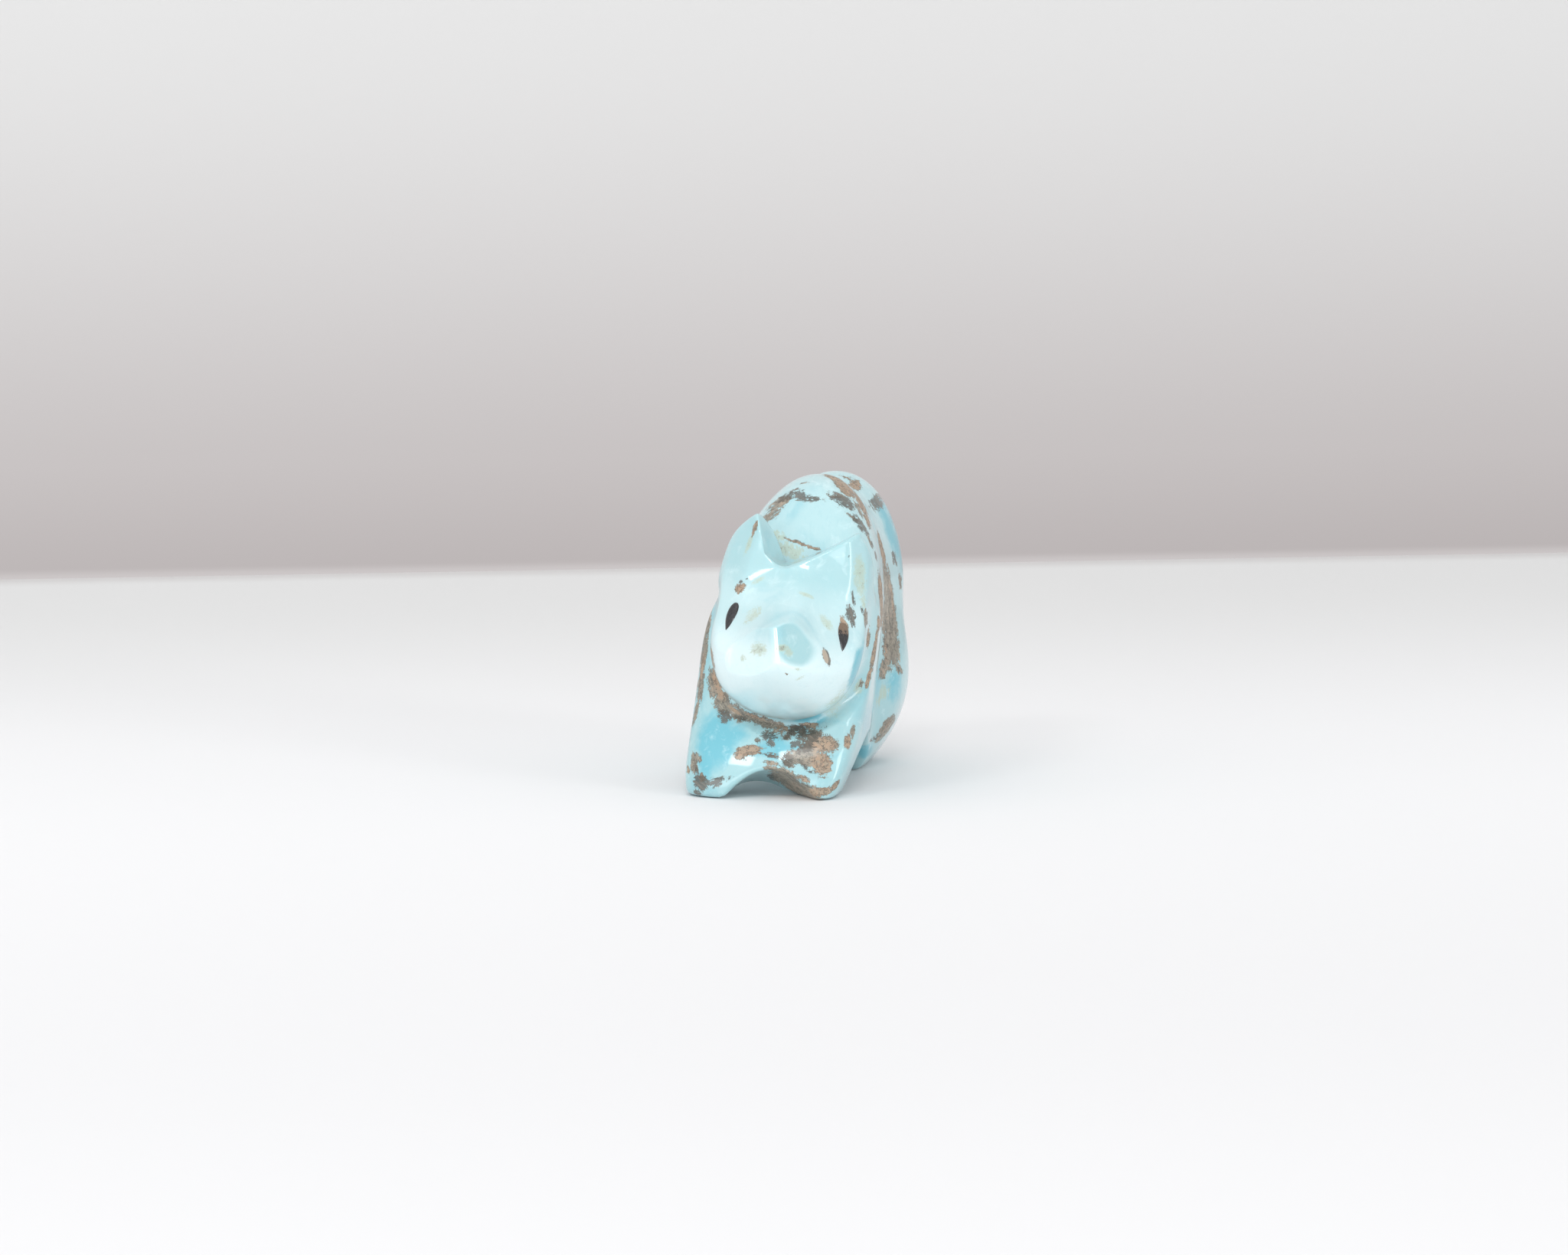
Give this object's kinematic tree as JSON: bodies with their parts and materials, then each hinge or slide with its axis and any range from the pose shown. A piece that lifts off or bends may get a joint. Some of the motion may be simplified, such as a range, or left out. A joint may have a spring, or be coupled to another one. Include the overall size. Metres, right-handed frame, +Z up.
{
  "type": "carved stone bear figurine",
  "caption": "Standing bear carved in turquoise with brown matrix: pointed muzzle with ground flats, pricked ears, shoulder hump, short legs and inlaid jet eyes.",
  "frame": {"origin": "on the floor, under the middle of the figure's bounding box", "axes": "the bear looks along -Y, its left side is +X and +Z is up"},
  "size_m": [0.016, 0.0362, 0.0253],
  "materials": {
    "turquoise": "polished, with brown and dark matrix",
    "jet": "polished"
  },
  "bodies": {
    "root": {"bear_carving": "turquoise", "right_eye_inlay": "jet", "left_eye_inlay": "jet"}
  },
  "joints": []
}
